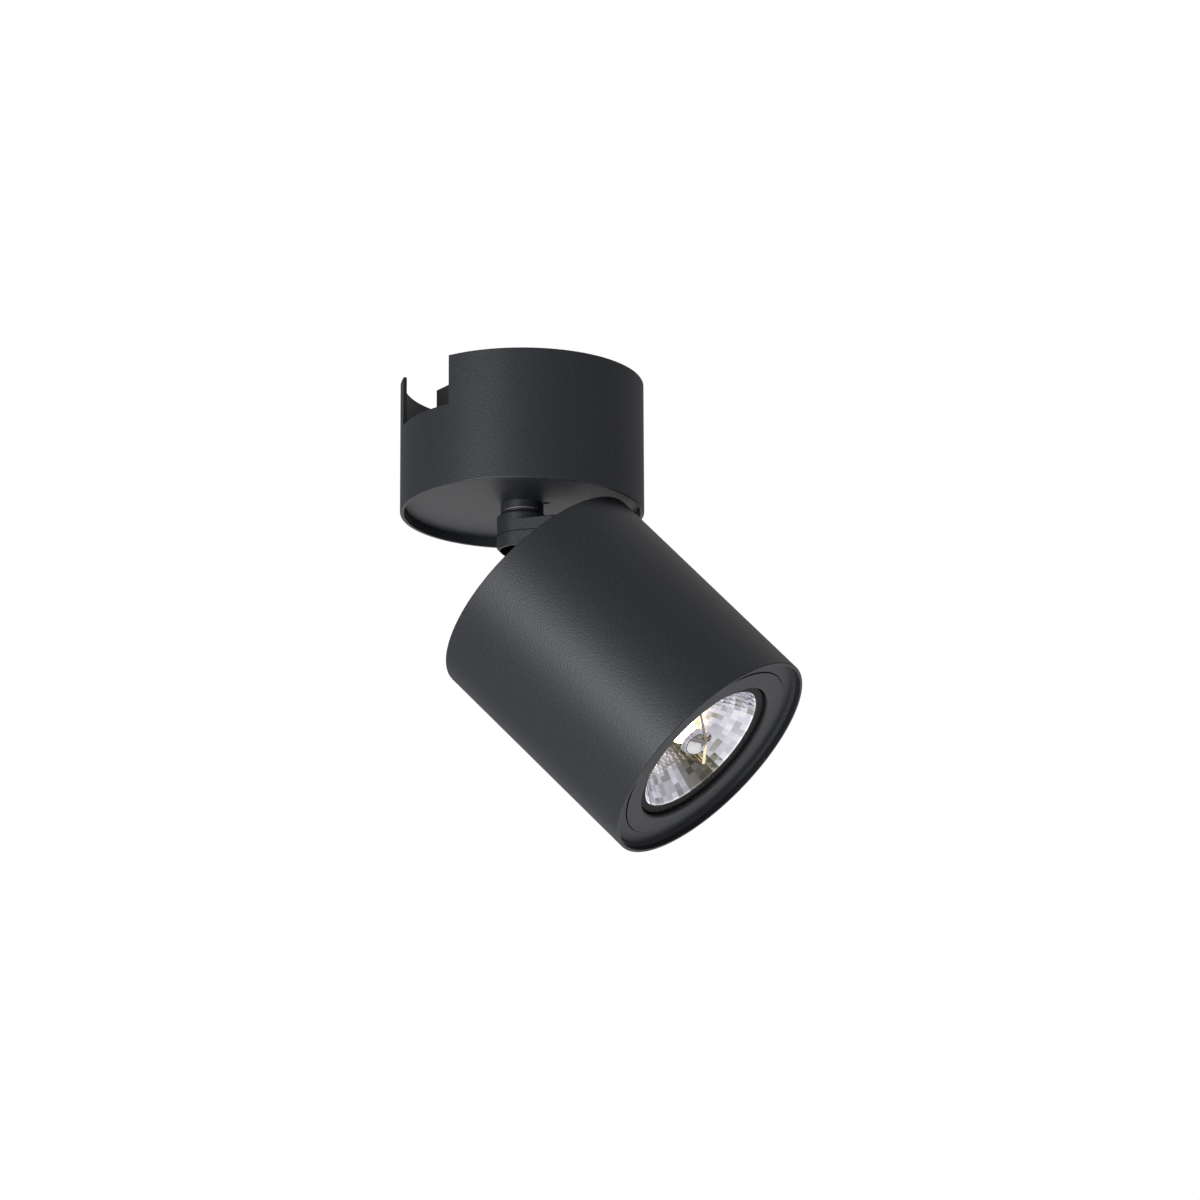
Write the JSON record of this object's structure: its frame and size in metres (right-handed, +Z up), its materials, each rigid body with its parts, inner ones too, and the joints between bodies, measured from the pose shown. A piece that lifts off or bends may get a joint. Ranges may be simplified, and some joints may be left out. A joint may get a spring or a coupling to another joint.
{
  "type": "track spotlight",
  "caption": "Drum canopy that straddles a lighting track, with a friction knuckle below it carrying a tilting cylindrical head and a recessed reflector lamp.",
  "frame": {"origin": "on the pan axis, in the plane where the adapter seats on the underside of the track", "axes": "+Z up towards the ceiling, X along the track; the beam leans out at 50 degrees from +X towards -Y"},
  "size_m": [0.16, 0.168, 0.2187],
  "materials": {
    "black_coat": "fine-texture matt powder coat",
    "black_satin": "satin black enamel",
    "zinc_steel": "bright zinc plate",
    "black_oxide": "black oxide",
    "mill_aluminium": "bright rolled",
    "reflector_aluminium": "faceted and vacuum metallised",
    "black_plastic": "moulded",
    "white_nylon": "moulded",
    "silicone": "moulded",
    "copper": "rolled strip",
    "ceramic": "glazed steatite",
    "lamp_cap_metal": "nickelled brass",
    "quartz": "fire-polished quartz glass"
  },
  "bodies": {
    "canopy": {"canopy_shell": "black_coat", "ledge_ring": "zinc_steel", "base_plate": "black_coat", "plate_studs": "zinc_steel", "stud_nuts": "zinc_steel", "adapter_base": "black_plastic", "adapter_half_left": "black_plastic", "adapter_half_right": "black_plastic", "earth_contacts": "copper", "adapter_bracket": "zinc_steel", "adapter_screws": "zinc_steel", "transformer_pad": "silicone", "transformer": "white_nylon", "terminal_block": "white_nylon", "terminal_screws": "zinc_steel", "mains_leads": "silicone", "feed_leads": "silicone", "pan_collar": "black_coat", "stop_screw": "black_oxide", "nylon_washer": "white_nylon"},
    "lock": {"lock_lever": "black_plastic", "lock_cam": "zinc_steel"},
    "contacts": {"contact_lever": "black_plastic", "contact_fingers": "copper"},
    "swivel": {"thrust_washer": "white_nylon", "pan_spigot": "zinc_steel", "stop_washer": "zinc_steel", "spring_washer": "black_oxide", "pan_nut": "zinc_steel", "knuckle_arm": "black_coat", "knuckle_fork": "black_coat", "fork_screws": "black_oxide", "pivot_screw": "black_oxide", "pivot_nut": "zinc_steel"},
    "head": {"head_tube": "black_coat", "rear_ledge": "zinc_steel", "rear_cap": "black_coat", "cap_screws": "black_oxide", "hinge_lug": "black_coat", "lug_screws": "zinc_steel", "friction_discs": "white_nylon", "cable_grommet": "silicone", "chassis_rods": "zinc_steel", "rod_nuts": "zinc_steel", "heat_shield": "mill_aluminium", "socket_plate": "zinc_steel", "lamp_socket": "ceramic", "socket_screws": "zinc_steel", "lamp_leads": "silicone", "carrier_ring": "zinc_steel", "bayonet_ring": "zinc_steel", "front_ring": "black_coat", "lamp_holder": "black_satin", "lamp_reflector": "reflector_aluminium", "lamp_base": "lamp_cap_metal", "base_pins": "lamp_cap_metal", "lamp_capsule": "quartz", "glare_cap": "reflector_aluminium", "cap_wire": "lamp_cap_metal"},
    "bezel": {"retaining_ring": "black_coat"}
  },
  "joints": [
    {"name": "pan", "type": "hinge", "parent": "canopy", "child": "swivel", "pos_m": [0, 0, -0.0376], "axis": [0, 0, 1], "range_deg": [-166, 166]},
    {"name": "tilt", "type": "hinge", "parent": "swivel", "child": "head", "pos_m": [0.01157, -0.01379, -0.0576], "axis": [0.766, 0.6428, 0], "range_deg": [-1.6, 43.4]},
    {"name": "lock_swing", "type": "hinge", "parent": "canopy", "child": "lock", "pos_m": [-0.025, 0, -0.008], "axis": [0, 0, 1], "range_deg": [0, 90]},
    {"name": "contact_swing", "type": "hinge", "parent": "canopy", "child": "contacts", "pos_m": [0.025, 0, -0.008], "axis": [0, 0, 1], "range_deg": [-90, 0]},
    {"name": "ring_twist", "type": "hinge", "parent": "head", "child": "bezel", "pos_m": [0.05409, -0.06446, -0.15608], "axis": [0.4417, -0.5263, -0.7266], "range_deg": [0, 18]}
  ]
}
